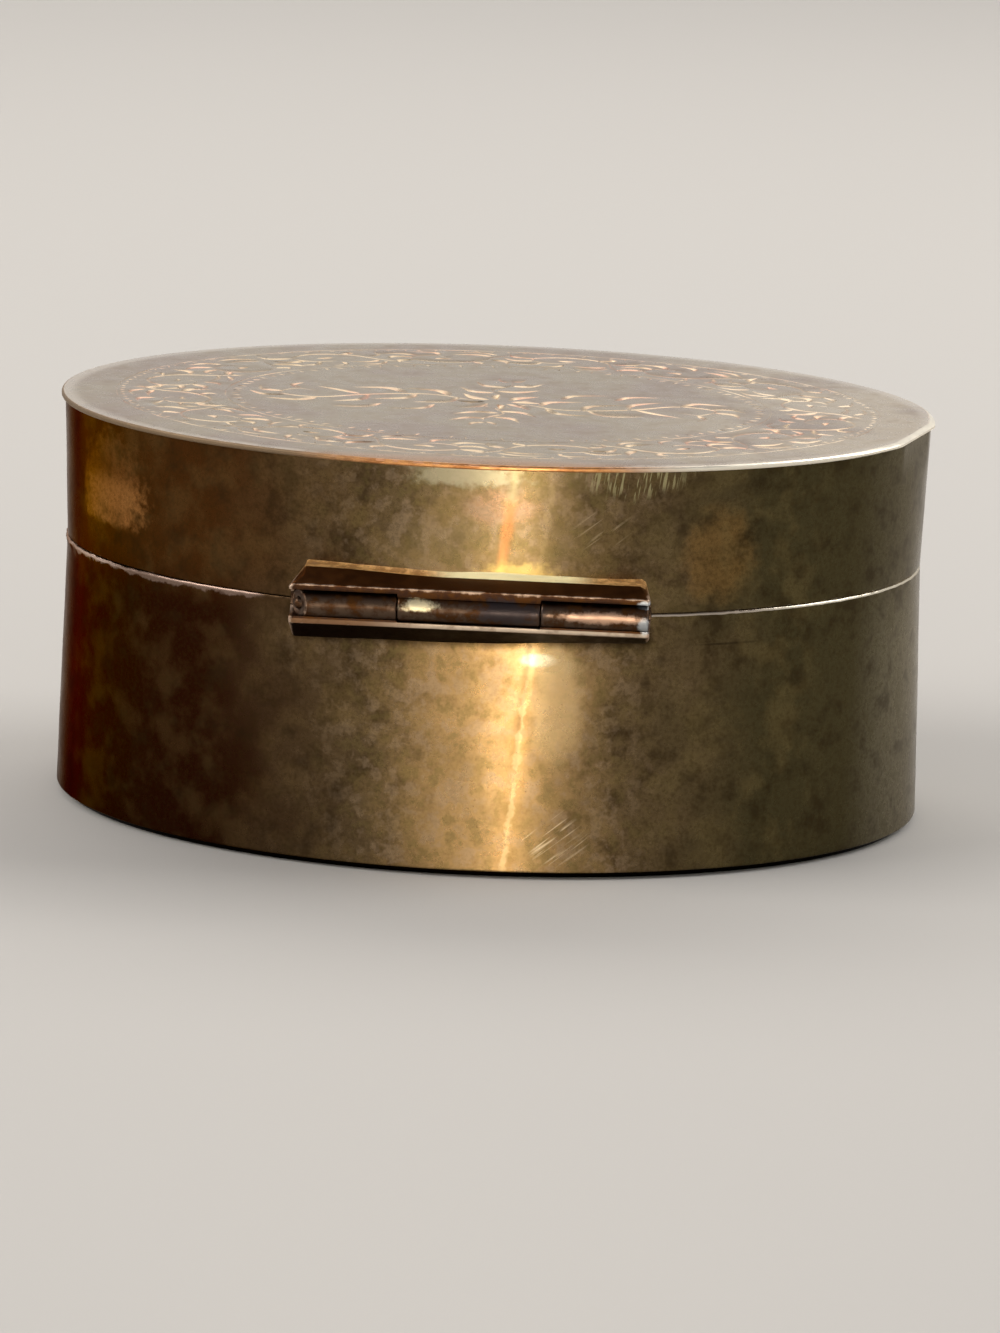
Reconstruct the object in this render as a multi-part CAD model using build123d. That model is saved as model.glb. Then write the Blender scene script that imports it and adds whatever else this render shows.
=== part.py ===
from build123d import *
import os

# Oval brass trinket box with a flat lid on a stand-off hinge. Millimetres, +Z up.
# The origin is on the table under the middle of the oval, and the hinge is on the +Y side.

# Whole box: the lid plate is its longest and widest piece
LENGTH = 90.0
WIDTH = 67.5
HEIGHT = 41.8
SEAM_Z = 26.9
SEAM_GAP = 0.05
SHEET = 0.9
LID_PLATE_THICKNESS = 0.55

# How far the walls stand inside the edge of the lid plate: the box is drawn in at the seam
INSET_UNDER_LID = 0.45
INSET_AT_SEAM = 0.85
INSET_AT_FOOT = 0.15

# Bottom plate, let into the base wall and standing a little below it
FOOT_GAP = 0.7
BASE_PLATE_THICKNESS = 1.5

# Collar soldered inside the base wall, which the lid closes over
COLLAR_SHEET = 0.7
COLLAR_BELOW_SEAM = 7.0
COLLAR_ABOVE_SEAM = 2.5
COLLAR_CLEARANCE = 0.13
COLLAR_DRAWN_IN = 0.25

# Bevels that take the sharpness off the edges of the sheet
LID_EDGE_BEVEL = 0.25
RIM_BEVEL = 0.15

# Hinge: three knuckles on one pin, in a groove between two bearers
HINGE_LENGTH = 35.5
PIN_FROM_WALL = 1.9
PIN_ABOVE_SEAM = 0.5
PIN_RADIUS = 0.6
PIN_RECESS = 0.35
PIN_CLEARANCE = 0.05
KNUCKLE_RADIUS = 1.4
KNUCKLE_RECESS = 0.15
KNUCKLE_BEVEL = 0.15
MIDDLE_KNUCKLE_LENGTH = 14.0
KNUCKLE_GAP = 0.1
LID_GROOVE_RELIEF = 0.3
BASE_GROOVE_RELIEF = 0.15

# Bearers: a flat land outboard of the pin, a face that slopes back to a straight ridge, and
# from there a ledge to the wall, which curves away towards the ends
LAND_FROM_PIN = 0.85
LAND_HALF_HEIGHT = 1.85
UPPER_BEARER_RISE = 2.8
UPPER_END_CUT = 1.2
LOWER_BEARER_DROP = 3.7
LOWER_END_CUT = 0.6
BEARER_REACH_IN = 6.0

SEAM_HALF_LENGTH = LENGTH / 2 - INSET_AT_SEAM
SEAM_HALF_WIDTH = WIDTH / 2 - INSET_AT_SEAM
BASE_TOP_Z = SEAM_Z - SEAM_GAP / 2
LID_FOOT_Z = SEAM_Z + SEAM_GAP / 2
PLATE_FOOT_Z = HEIGHT - LID_PLATE_THICKNESS
PIN_Y = SEAM_HALF_WIDTH + PIN_FROM_WALL
PIN_Z = SEAM_Z + PIN_ABOVE_SEAM
HINGE_END = HINGE_LENGTH / 2
MIDDLE_END = MIDDLE_KNUCKLE_LENGTH / 2
SPLIT_X = MIDDLE_END + KNUCKLE_GAP / 2


def oval(z, inset):
    """Oval face at a height, set in from the edge of the lid plate."""
    return Plane.XY.offset(z) * Ellipse(LENGTH / 2 - inset, WIDTH / 2 - inset)


def oval_block(low_z, low_inset, high_z, high_inset):
    """Solid between two ovals, with straight sides."""
    return loft([oval(low_z, low_inset), oval(high_z, high_inset)], ruled=True)


def base_inset(z):
    """Inset of the base wall's outer face at a height."""
    share = (z - FOOT_GAP) / (BASE_TOP_Z - FOOT_GAP)
    return INSET_AT_FOOT + share * (INSET_AT_SEAM - INSET_AT_FOOT)


def base_block(low_z, high_z, thinner=0.0):
    """Solid that follows the base wall's outer face, or lies inside it."""
    return oval_block(low_z, base_inset(low_z) + thinner, high_z, base_inset(high_z) + thinner)


def lid_block(thinner=0.0):
    """Solid that follows the lid wall's outer face, or lies inside it."""
    return oval_block(LID_FOOT_Z, INSET_AT_SEAM + thinner, PLATE_FOOT_Z, INSET_UNDER_LID + thinner)


def outer_edge(solid, end):
    """Outer edge of the solid's lowest (0) or highest (-1) face."""
    return solid.faces().sort_by(Axis.Z)[end].outer_wire().edges()


def base_wall():
    """Tapered band, bevelled at the foot and at the seam."""
    wall = base_block(FOOT_GAP, BASE_TOP_Z) - base_block(FOOT_GAP, BASE_TOP_Z, SHEET)
    return chamfer(outer_edge(wall, 0) + outer_edge(wall, -1), RIM_BEVEL)


def base_plate():
    """Bottom plate, fitting the inside of the base wall."""
    return base_block(0.0, BASE_PLATE_THICKNESS, SHEET)


def inner_collar():
    """Thin band that meets the base wall below the seam and is drawn in above it."""
    foot_z = BASE_TOP_Z - COLLAR_BELOW_SEAM
    top_z = SEAM_Z + COLLAR_ABOVE_SEAM
    rim_inset = INSET_AT_SEAM + SHEET + COLLAR_CLEARANCE
    top_inset = INSET_AT_SEAM + SHEET + COLLAR_DRAWN_IN
    outside = base_block(foot_z, BASE_TOP_Z, SHEET) + oval_block(BASE_TOP_Z, rim_inset, top_z, top_inset)
    hollow_foot = base_block(foot_z, BASE_TOP_Z, SHEET + COLLAR_SHEET)
    foot_inset = base_inset(BASE_TOP_Z) + SHEET + COLLAR_SHEET
    hollow_top = oval_block(BASE_TOP_Z, foot_inset, top_z, top_inset + COLLAR_SHEET)
    return outside - hollow_foot - hollow_top


def lid_wall():
    """Shallow band, bevelled where it meets the base."""
    wall = lid_block() - lid_block(SHEET)
    return chamfer(outer_edge(wall, 0), RIM_BEVEL)


def lid_plate():
    """Flat top, standing out past the lid wall, with its upper edge bevelled."""
    plate = extrude(oval(PLATE_FOOT_Z, 0.0), LID_PLATE_THICKNESS)
    return chamfer(outer_edge(plate, -1), LID_EDGE_BEVEL)


def hinge_rod(low_x, high_x, radius):
    """Round bar on the pin's axis."""
    circle = Plane.YZ.offset(low_x) * Pos(PIN_Y, PIN_Z) * Circle(radius)
    return extrude(circle, high_x - low_x)


def knuckle(low_x, high_x, bore_radius):
    """Tube on the pin's axis, with bevelled ends."""
    tube = hinge_rod(low_x, high_x, KNUCKLE_RADIUS)
    tube = chamfer(tube.edges().filter_by(GeomType.CIRCLE), KNUCKLE_BEVEL)
    return tube - hinge_rod(low_x, high_x, bore_radius)


def bearer(side, seam_face_z, ridge_rise, end_cut, wall_block):
    """Half of the hinge's seat. side is 1 for the lid's half and -1 for the base's."""
    land_y = PIN_Y + LAND_FROM_PIN
    land_z = PIN_Z + side * LAND_HALF_HEIGHT
    ridge_z = PIN_Z + side * ridge_rise
    inner_y = SEAM_HALF_WIDTH - BEARER_REACH_IN
    section = make_face(Polyline((inner_y, seam_face_z), (land_y, seam_face_z), (land_y, land_z),
                                 (SEAM_HALF_WIDTH, ridge_z), (inner_y, ridge_z), close=True))
    block = extrude(Plane.YZ.offset(-HINGE_END) * section, HINGE_LENGTH)
    # Seen from outside, the ends lean in beyond the land
    cut_x = HINGE_END - end_cut
    outline = make_face(Polyline((-HINGE_END, seam_face_z), (HINGE_END, seam_face_z), (HINGE_END, land_z),
                                 (cut_x, ridge_z), (-cut_x, ridge_z), (-HINGE_END, land_z), close=True))
    block &= extrude(Plane.XZ.offset(-land_y) * outline, land_y - inner_y)
    return block - wall_block


def base_bearer():
    """Lower bearer: holds the outer knuckles and leaves room for the middle one to turn."""
    wall_block = base_block(FOOT_GAP, BASE_TOP_Z)
    block = bearer(-1, BASE_TOP_Z, LOWER_BEARER_DROP, LOWER_END_CUT, wall_block)
    block -= hinge_rod(-HINGE_END, HINGE_END, KNUCKLE_RADIUS)
    return block - hinge_rod(-SPLIT_X, SPLIT_X, KNUCKLE_RADIUS + BASE_GROOVE_RELIEF)


def lid_bearer():
    """Upper bearer: holds the middle knuckle and leaves room to turn about the outer ones."""
    block = bearer(1, LID_FOOT_Z, UPPER_BEARER_RISE, UPPER_END_CUT, lid_block())
    block -= hinge_rod(-HINGE_END, HINGE_END, KNUCKLE_RADIUS)
    block -= hinge_rod(-HINGE_END, -SPLIT_X, KNUCKLE_RADIUS + LID_GROOVE_RELIEF)
    return block - hinge_rod(SPLIT_X, HINGE_END, KNUCKLE_RADIUS + LID_GROOVE_RELIEF)


def hinge_pin():
    """Wire through all the knuckles, its ends inside the outer ones."""
    end_x = HINGE_END - KNUCKLE_RECESS - PIN_RECESS
    return hinge_rod(-end_x, end_x, PIN_RADIUS)


outer_start = MIDDLE_END + KNUCKLE_GAP
outer_end = HINGE_END - KNUCKLE_RECESS
parts = {
    "base_plate": base_plate(),
    "base_wall": base_wall(),
    "inner_collar": inner_collar(),
    "lower_hinge_bearer": base_bearer(),
    "left_hinge_knuckle": knuckle(outer_start, outer_end, PIN_RADIUS),
    "right_hinge_knuckle": knuckle(-outer_end, -outer_start, PIN_RADIUS),
    "hinge_pin": hinge_pin(),
    "lid_wall": lid_wall(),
    "lid_plate": lid_plate(),
    "upper_hinge_bearer": lid_bearer(),
    "middle_hinge_knuckle": knuckle(-MIDDLE_END, MIDDLE_END, PIN_RADIUS + PIN_CLEARANCE),
}

os.makedirs("parts", exist_ok=True)
for name, shape in parts.items():
    export_step(shape, f"parts/{name}.step")
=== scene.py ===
"""Oval brass trinket box: its finish, its engraving and a small studio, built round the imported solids."""

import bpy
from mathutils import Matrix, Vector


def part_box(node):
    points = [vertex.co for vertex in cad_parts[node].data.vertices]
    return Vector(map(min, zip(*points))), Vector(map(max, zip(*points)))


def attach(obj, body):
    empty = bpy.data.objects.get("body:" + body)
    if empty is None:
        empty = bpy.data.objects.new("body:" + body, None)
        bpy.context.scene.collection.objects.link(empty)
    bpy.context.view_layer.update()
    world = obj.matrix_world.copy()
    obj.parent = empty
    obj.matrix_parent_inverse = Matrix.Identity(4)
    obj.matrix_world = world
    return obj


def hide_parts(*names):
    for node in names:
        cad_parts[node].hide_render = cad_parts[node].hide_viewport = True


bl_info = {
    "name": "Oval brass trinket box",
    "version": (1, 0, 0),
    "blender": (4, 5, 0),
    "location": "3D View > Sidebar > Trinket box",
    "description": "Builds the finished pieces of an oval engraved brass box, and a studio for it",
    "category": "Object",
}

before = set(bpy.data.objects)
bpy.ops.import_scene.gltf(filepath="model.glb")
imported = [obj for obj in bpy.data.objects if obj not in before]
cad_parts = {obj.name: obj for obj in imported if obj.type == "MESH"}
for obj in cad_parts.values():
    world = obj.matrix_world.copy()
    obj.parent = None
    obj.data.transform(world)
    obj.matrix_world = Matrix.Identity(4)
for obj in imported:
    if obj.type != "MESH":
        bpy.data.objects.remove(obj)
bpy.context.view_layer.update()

import math
import random

import bmesh
import bpy
from bpy.props import FloatProperty, FloatVectorProperty, IntProperty, PointerProperty
from mathutils import Matrix, Vector, noise
from mathutils.geometry import delaunay_2d_cdt

# Sizes are in millimetres until a mesh is made
MM = 0.001


def box_mm(node):
    """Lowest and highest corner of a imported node, in millimetres."""
    low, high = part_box(node)
    return low / MM, high / MM


# The whole oval, and the heights where its pieces meet
PLATE_LOW, PLATE_HIGH = box_mm("lid_plate")
LID_LOW, LID_HIGH = box_mm("lid_wall")
BASE_LOW, BASE_HIGH = box_mm("base_wall")
FLOOR_HIGH = box_mm("base_plate")[1]
COLLAR_LOW, COLLAR_HIGH = box_mm("inner_collar")
HALF_LENGTH = PLATE_HIGH.x
HALF_WIDTH = PLATE_HIGH.y

# Insets are measured from the lid plate's edge; the walls are drawn in where the lid meets the base
SHEET = 0.9
INSET_UNDER_LID = HALF_LENGTH - LID_HIGH.x
INSET_AT_SEAM = 0.85
SEAM_Z = 26.9
INSET_AT_FOOT = HALF_LENGTH - BASE_HIGH.x
COLLAR_SHEET = 0.7
COLLAR_CLEARANCE = 0.13
COLLAR_DRAWN_IN = 0.25

# Hinge: pin, knuckles and the two bearers that hold them
PIN_LOW, PIN_HIGH = box_mm("hinge_pin")
PIN_Y = (PIN_LOW.y + PIN_HIGH.y) / 2
PIN_Z = (PIN_LOW.z + PIN_HIGH.z) / 2
PIN_RADIUS = (PIN_HIGH.z - PIN_LOW.z) / 2
BORE_RADIUS = PIN_RADIUS + 0.03
MIDDLE_LOW, MIDDLE_HIGH = box_mm("middle_hinge_knuckle")
LEFT_LOW, LEFT_HIGH = box_mm("left_hinge_knuckle")
RIGHT_LOW, RIGHT_HIGH = box_mm("right_hinge_knuckle")
KNUCKLE_RADIUS = (MIDDLE_HIGH.z - MIDDLE_LOW.z) / 2
UPPER_LOW, UPPER_HIGH = box_mm("upper_hinge_bearer")
LOWER_LOW, LOWER_HIGH = box_mm("lower_hinge_bearer")
LAND_Y = UPPER_HIGH.y
LAND_HALF_HEIGHT = 1.85
RIDGE_Y = 33.35
UPPER_RISE = UPPER_HIGH.z - PIN_Z
LOWER_DROP = PIN_Z - LOWER_LOW.z
LID_GROOVE_RELIEF = 0.3
BASE_GROOVE_RELIEF = 0.15
SPLIT_X = (MIDDLE_HIGH.x + LEFT_LOW.x) / 2

# The two bands are each soldered shut behind, on a slightly slanting line: its X at the top and the foot
BASE_JOIN_X = (-6.5, -4.1)
LID_JOIN_X = (-3.4, -3.0)


def linear(hex_colour):
    """Linear red, green, blue and alpha of an sRGB hex colour."""
    parts = [int(hex_colour[i:i + 2], 16) / 255 for i in (1, 3, 5)]
    return [p / 12.92 if p <= 0.04045 else ((p + 0.055) / 1.055) ** 2.4 for p in parts] + [1.0]


def smooth_step(low, high, value):
    """0 below low, 1 above high, and an eased run between."""
    share = min(1.0, max(0.0, (value - low) / (high - low)))
    return share * share * (3 - 2 * share)


def mix(a, b, share):
    """Value between a and b."""
    return a + (b - a) * share


def length_setting(name, description, default, low, high):
    """Length that is given here in millimetres."""
    return FloatProperty(name=name, description=description, default=default * MM, min=low * MM,
                         max=high * MM, subtype="DISTANCE", unit="LENGTH", precision=5)


def colour_setting(name, description, hex_colour):
    """Colour that is given here in sRGB hex."""
    return FloatVectorProperty(name=name, description=description, default=linear(hex_colour), size=4,
                               subtype="COLOR", min=0, max=1)


class WallSettings(bpy.types.PropertyGroup):
    """How the bands of sheet brass are worked."""

    rim_radius: length_setting(
        "Rim rounding", "Radius of the worn rims where the lid meets the base", 0.24, 0.05, 0.4)
    waviness: length_setting("Waviness", "How far hand working leaves the walls out of true", 0.07, 0.0, 0.3)
    dents: length_setting(
        "Rim dents", "Depth of the knocks on the base's rim at the left end", 0.28, 0.0, 0.8)
    steps: IntProperty(
        name="Steps", description="Number of sections round the oval", default=640, min=64, max=2048)


class EngravingSettings(bpy.types.PropertyGroup):
    """How the lid plate is engraved."""

    cut_slope: FloatProperty(
        name="Cut slope", description="Depth of a cut as a share of half its width",
        default=0.48, min=0.1, max=1.5)
    leaf_width: length_setting("Leaf width", "Widest part of a leaf cut", 0.95, 0.2, 1.4)
    line_width: length_setting("Line width", "Width of the fine lines", 0.26, 0.1, 0.6)
    scrolls: IntProperty(
        name="Scrolls", description="Number of leafy scrolls in the border", default=16, min=6, max=40)
    seed: IntProperty(name="Seed", description="Picks one set of hand-cut irregularities", default=7)


class PatinaSettings(bpy.types.PropertyGroup):
    """Colours of the brass, from rubbed bright to dark tarnish."""

    # Rubbed brass is laid in an upright column in the middle: partly rubbing and partly a painted highlight
    rubbed: colour_setting("Rubbed brass", "Where hands keep the walls bright", "#B59362")
    dull: colour_setting("Dull brass", "General colour of the walls", "#705C40")
    # Brown, dark and olive are laid towards the ends: partly tarnish and partly painted shade
    warm: colour_setting("Brown tarnish", "Darker brown of the lid towards the left end", "#4A2C12")
    dark: colour_setting("Dark tarnish", "Darkest brown, low down towards the left end", "#2B1106")
    amber: colour_setting("Amber patch", "Patch on the lid's left end", "#99683A")
    olive: colour_setting("Olive tarnish", "Greenish grey towards the right end", "#48412A")
    worn: colour_setting("Worn edge", "Bare metal on rims and corners", "#E3CCA6")
    lid: colour_setting("Lid top", "Flat ground of the engraved plate", "#A7977F")
    cut: colour_setting("Cuts", "Flanks of the engraved cuts", "#F9DBB2")
    edge: colour_setting("Lid edge", "Rubbed edge of the lid plate", "#DFA268")
    hinge: colour_setting("Hinge tarnish", "Unrubbed brass of the hinge", "#35231A")
    inside: colour_setting("Inside", "Less tarnished brass inside the box", "#D0BB8C")


class StudioSettings(bpy.types.PropertyGroup):
    """Camera and light."""

    distance: FloatProperty(
        name="Camera distance", description="From the camera to the point it looks at",
        default=642.83 * MM, min=0.3, max=3.0, subtype="DISTANCE", unit="LENGTH")
    azimuth: FloatProperty(
        name="Camera azimuth", description="Direction of the camera, from +X towards +Y",
        default=math.radians(93.4), subtype="ANGLE", unit="ROTATION")
    elevation: FloatProperty(
        name="Camera elevation", description="Height of the camera above the level of the box",
        default=math.radians(13.0), subtype="ANGLE", unit="ROTATION")
    roll: FloatProperty(
        name="Camera roll", description="Clockwise turn of the camera about its own axis",
        default=math.radians(1.93), subtype="ANGLE", unit="ROTATION")
    lens: FloatProperty(
        name="Focal length", description="For a sensor 36 mm high",
        default=167.35, min=20, max=400, subtype="DISTANCE_CAMERA", unit="CAMERA")
    target: FloatVectorProperty(
        name="Target", description="Point that the camera looks at",
        default=(-1.22 * MM, 1.483 * MM, 14.224 * MM), size=3, subtype="TRANSLATION", unit="LENGTH")
    floor: colour_setting("Floor", "Colour of the table", "#C9C6C1")


class BoxSettings(bpy.types.PropertyGroup):
    """All settings of the trinket box."""

    walls: PointerProperty(type=WallSettings)
    engraving: PointerProperty(type=EngravingSettings)
    patina: PointerProperty(type=PatinaSettings)
    studio: PointerProperty(type=StudioSettings)


# Meshes


class Shape:
    """A closed mesh in the making: points in millimetres, faces, and two values for each point.

    wear is 1 where the metal is rubbed bare. tone is 1 on a second surface of the same piece.
    """

    def __init__(self):
        self.points = []
        self.wear = []
        self.tone = []
        self.faces = []

    def add_ring(self, points, wear, tone=0.0):
        """Append a ring of points and return the number of its first."""
        start = len(self.points)
        self.points += points
        self.wear += wear
        self.tone += [tone] * len(points)
        return start

    def join_rings(self, first, second, count):
        """Quads between two rings that start at points first and second."""
        for i in range(count):
            j = (i + 1) % count
            self.faces.append((first + i, first + j, second + j, second + i))

    def join_all(self, starts, count, closed=False):
        """Quads between each ring and the next, and between the last and the first if closed."""
        followers = starts[1:] + starts[:1] if closed else starts[1:]
        for first, second in zip(starts, followers):
            self.join_rings(first, second, count)


def make_piece(name, shape, body, node, material, sharp_angle=38):
    """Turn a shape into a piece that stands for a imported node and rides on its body."""
    mesh = bpy.data.meshes.new(name)
    mesh.from_pydata([Vector(p) * MM for p in shape.points], [], shape.faces)
    mesh.materials.append(material)
    for label, values in (("wear", shape.wear), ("tone", shape.tone)):
        mesh.attributes.new(label, "FLOAT", "POINT").data.foreach_set("value", values)
    build = bmesh.new()
    build.from_mesh(mesh)
    bmesh.ops.recalc_face_normals(build, faces=build.faces)
    build.to_mesh(mesh)
    build.free()
    mesh.shade_smooth()
    mesh.set_sharp_from_angle(angle=math.radians(sharp_angle))
    if mesh.validate():
        raise RuntimeError(f"{name} has faces that Blender had to mend")
    piece = bpy.data.objects.new(name, mesh)
    bpy.context.scene.collection.objects.link(piece)
    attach(piece, body)
    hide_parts(node)


def round_corners(corners, steps=4):
    """Closed outline with rounded corners, each (across, up, radius, wear), as (across, up, wear) points."""
    outline = []
    for i, (across, up, radius, wear) in enumerate(corners):
        here = Vector((across, up))
        if radius == 0:
            outline.append((across, up, wear))
            continue
        back = (Vector(corners[i - 1][:2]) - here).normalized()
        on = (Vector(corners[(i + 1) % len(corners)][:2]) - here).normalized()
        reach = radius / math.tan(back.angle(on) / 2)
        for step in range(steps + 1):
            share = step / steps
            point = here + back * reach * (1 - share) ** 2 + on * reach * share ** 2
            outline.append((point.x, point.y, wear))
    return outline


def divide_runs(outline, longest, fade=0.09):
    """Outline with points added on its long runs, so that wear fades close to the corners."""
    divided = []
    for i, (across, up, wear) in enumerate(outline):
        divided.append((across, up, wear))
        next_across, next_up, next_wear = outline[(i + 1) % len(outline)]
        length = math.hypot(next_across - across, next_up - up)
        if length < 3 * fade:
            continue
        count = math.ceil((length - 2 * fade) / longest)
        for step in range(count + 1):
            share = (fade + (length - 2 * fade) * step / count) / length
            divided.append((mix(across, next_across, share), mix(up, next_up, share), 0.0))
    return divided


def on_oval(angle, inset, height):
    """Point of the oval at an angle, set in from the lid plate's edge."""
    return Vector(((HALF_LENGTH - inset) * math.cos(angle), (HALF_WIDTH - inset) * math.sin(angle), height))


def sweep_oval(outline, angles, place):
    """Closed band: the outline carried round the oval, each of its points set down by place."""
    shape = Shape()
    starts = []
    for angle in angles:
        points = [place(angle, inset, height) for inset, height, wear in outline]
        starts.append(shape.add_ring(points, [wear for inset, height, wear in outline]))
    shape.join_all(starts, len(outline), closed=True)
    return shape


# Part of the lid plate's rim that has been knocked flat, as the angles of its two ends
FACET = (math.radians(158.0), math.radians(177.2))


def plate_rim(angle, inset, height):
    """Point of the lid plate's rim, which is flat between the facet's ends."""
    point = on_oval(angle, inset, height)
    start, end = [on_oval(a, 0, height) for a in FACET]
    outward = Vector((end.y - start.y, start.x - end.x, 0)).normalized()
    outward *= 1 if outward.dot(start) > 0 else -1
    beyond = outward.dot(point - start) + inset
    return point - outward * max(0.0, beyond)


def widening(angle):
    """How many times wider the lid plate's bevel has been rubbed at an angle: most at the facet."""
    return 1 + 2.4 * smooth_step(2.45, 2.75, angle) * (1 - smooth_step(3.1, 3.4, angle))


def waviness(point, amount):
    """Outward shift of hand-worked sheet at a point, in millimetres."""
    broad = noise.noise(point / 17)
    near = noise.noise(point / 5.5 + Vector((40, 0, 0)))
    return amount * (broad + 0.35 * near)


def base_inset(height):
    """Inset of the base wall's outer face at a height."""
    share = (height - BASE_LOW.z) / (BASE_HIGH.z - BASE_LOW.z)
    return mix(INSET_AT_FOOT, INSET_AT_SEAM, share)


def lid_inset(height):
    """Inset of the lid wall's outer face at a height."""
    share = (height - LID_LOW.z) / (LID_HIGH.z - LID_LOW.z)
    return mix(INSET_AT_SEAM, INSET_UNDER_LID, share)


def even_angles(count):
    """Angles evenly round a circle."""
    return [2 * math.pi * i / count for i in range(count)]


def angles_with_join(count, join_angle):
    """Even angles, closer together where the band is soldered shut."""
    near = [join_angle + step / (HALF_LENGTH * 10) for step in (-9, -5, -2, 0, 2, 5, 9)]
    gap = 12 / (HALF_LENGTH * 10)
    return sorted([a for a in even_angles(count) if abs(a - join_angle) > gap] + near)


def join_line(join_x, low_z, high_z, seed):
    """Function of height that gives the angle of a band's soldered join, with its jagged edge."""
    def angle_at(height):
        across = mix(join_x[1], join_x[0], (height - low_z) / (high_z - low_z))
        across += 0.3 * noise.noise(Vector((seed, 0, height / 3.5)))
        across += 0.16 * noise.noise(Vector((seed, 9, height / 0.8)))
        return math.acos(across / HALF_LENGTH)

    return angle_at


def wall_shape(settings, corners, join_x, seed, rim_shift):
    """Band of hand-worked sheet: wavy, with a shallow soldered join behind and a knocked rim."""
    heights = [up for across, up, radius, wear in corners]
    middle = math.acos((join_x[0] + join_x[1]) / 2 / HALF_LENGTH)
    line = join_line(join_x, min(heights), max(heights), seed)
    amount = settings.waviness / MM

    def place(angle, inset, height):
        near = 1 - smooth_step(0, 0.22, abs(angle - middle))
        turned = angle + (line(height) - middle) * near
        flat = on_oval(turned, inset, height)
        from_join = abs(angle - middle) * HALF_LENGTH
        outward = waviness(flat, amount) - 0.01 * (1 - smooth_step(0, 0.5, from_join))
        shift, lift = rim_shift(angle, height)
        return on_oval(turned, inset - outward - shift, height + lift)

    outline = divide_runs(round_corners(corners), 0.6)
    angles = angles_with_join(settings.steps, middle)
    shape = sweep_oval(outline, angles, place)
    # The second surface is the inner face
    shape.tone = [1.0 if inset > SHEET + 0.02 else 0.0 for inset, height, wear in outline] * len(angles)
    return shape


def base_wall_shape(settings):
    """Deep band with a worn upper rim, knocked about at its left end."""
    dent = settings.dents / MM
    corners = [
        (INSET_AT_FOOT, BASE_LOW.z, 0.15, 0.12),
        (INSET_AT_SEAM, BASE_HIGH.z, settings.rim_radius / MM, 1.0),
        (INSET_AT_SEAM + SHEET, BASE_HIGH.z, 0.1, 0.8),
        (INSET_AT_FOOT + SHEET, BASE_LOW.z, 0.1, 0.1),
    ]

    def rim_shift(angle, height):
        at_rim = smooth_step(BASE_HIGH.z - 1.2, BASE_HIGH.z - 0.2, height)
        if at_rim == 0:
            return 0.0, 0.0
        place = Vector((angle * HALF_LENGTH / 2.3, 3.1, 0))
        knocked = smooth_step(-0.25, 0.1, angle if angle < math.pi else angle - 2 * math.pi)
        knocked *= 1 - smooth_step(0.6, 1.0, angle) if angle < math.pi else 1
        rough = 0.6 + 0.5 * noise.noise(place)
        fine = 0.05 * noise.noise(place * 4)
        low = (0.03 + 0.06 * knocked) * max(0.0, 0.4 + noise.noise(place * 1.7 + Vector((0, 20, 0))))
        return at_rim * (dent * knocked * rough + fine), -at_rim * low

    return wall_shape(settings, corners, BASE_JOIN_X, 1, rim_shift)


def lid_wall_shape(settings):
    """Shallow band of the lid, pushed in with the plate at its facet."""
    corners = [
        (INSET_AT_SEAM, LID_LOW.z, settings.rim_radius / MM * 0.4, 0.25),
        (INSET_UNDER_LID, LID_HIGH.z, 0.05, 0.3),
        (INSET_UNDER_LID + SHEET, LID_HIGH.z, 0.05, 0.0),
        (INSET_AT_SEAM + SHEET, LID_LOW.z, 0.1, 0.8),
    ]

    def rim_shift(angle, height):
        at_rim = 1 - smooth_step(LID_LOW.z, LID_LOW.z + 1.0, height)
        knocked_in = (on_oval(angle, 0, 0) - plate_rim(angle, 0, 0)).length
        knocked_in = max(0.0, knocked_in - 0.25) * smooth_step(LID_HIGH.z - 5, LID_HIGH.z - 0.5, height)
        return at_rim * 0.03 * noise.noise(Vector((angle * HALF_LENGTH / 1.7, 7.7, 0))) - knocked_in, 0.0

    return wall_shape(settings, corners, LID_JOIN_X, 5, rim_shift)


def collar_shape():
    """Thin band inside the base, drawn in where the lid closes over it."""
    at_foot = base_inset(COLLAR_LOW.z) + SHEET
    at_rim = INSET_AT_SEAM + SHEET
    top = INSET_AT_SEAM + SHEET + COLLAR_DRAWN_IN
    outline = divide_runs(round_corners([
        (at_foot, COLLAR_LOW.z, 0.05, 0.2),
        (at_rim, BASE_HIGH.z - 0.1, 0, 0.0),
        (at_rim + COLLAR_CLEARANCE, BASE_HIGH.z + 0.05, 0, 0.0),
        (top, COLLAR_HIGH.z, 0.2, 1.0),
        (top + COLLAR_SHEET, COLLAR_HIGH.z, 0.2, 1.0),
        (at_foot + COLLAR_SHEET, COLLAR_LOW.z, 0.1, 0.3),
    ]), 0.8)

    def place(angle, inset, height):
        proud = smooth_step(BASE_HIGH.z, COLLAR_HIGH.z, height)
        drift = 0.04 * proud * noise.noise(Vector((angle * 9, height, 2)))
        return on_oval(angle, inset + abs(drift), height)

    return sweep_oval(outline, even_angles(420), place)


def add_disc(shape, rim_start, count, rim_inset, height, place=Vector):
    """Close a ring with smaller and smaller rings and a middle point, each set down by place."""
    previous = rim_start
    for share in (0.96, 0.88, 0.76, 0.62, 0.46, 0.3, 0.15):
        ring = []
        for angle in even_angles(count):
            edge = on_oval(angle, rim_inset, height)
            ring.append(place(Vector((edge.x * share, edge.y * share, height))))
        start = shape.add_ring(ring, [0.0] * count)
        shape.join_rings(previous, start, count)
        previous = start
    middle = shape.add_ring([place(Vector((0, 0, height)))], [0.0])
    for i in range(count):
        shape.faces.append((previous + i, previous + (i + 1) % count, middle))


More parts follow.
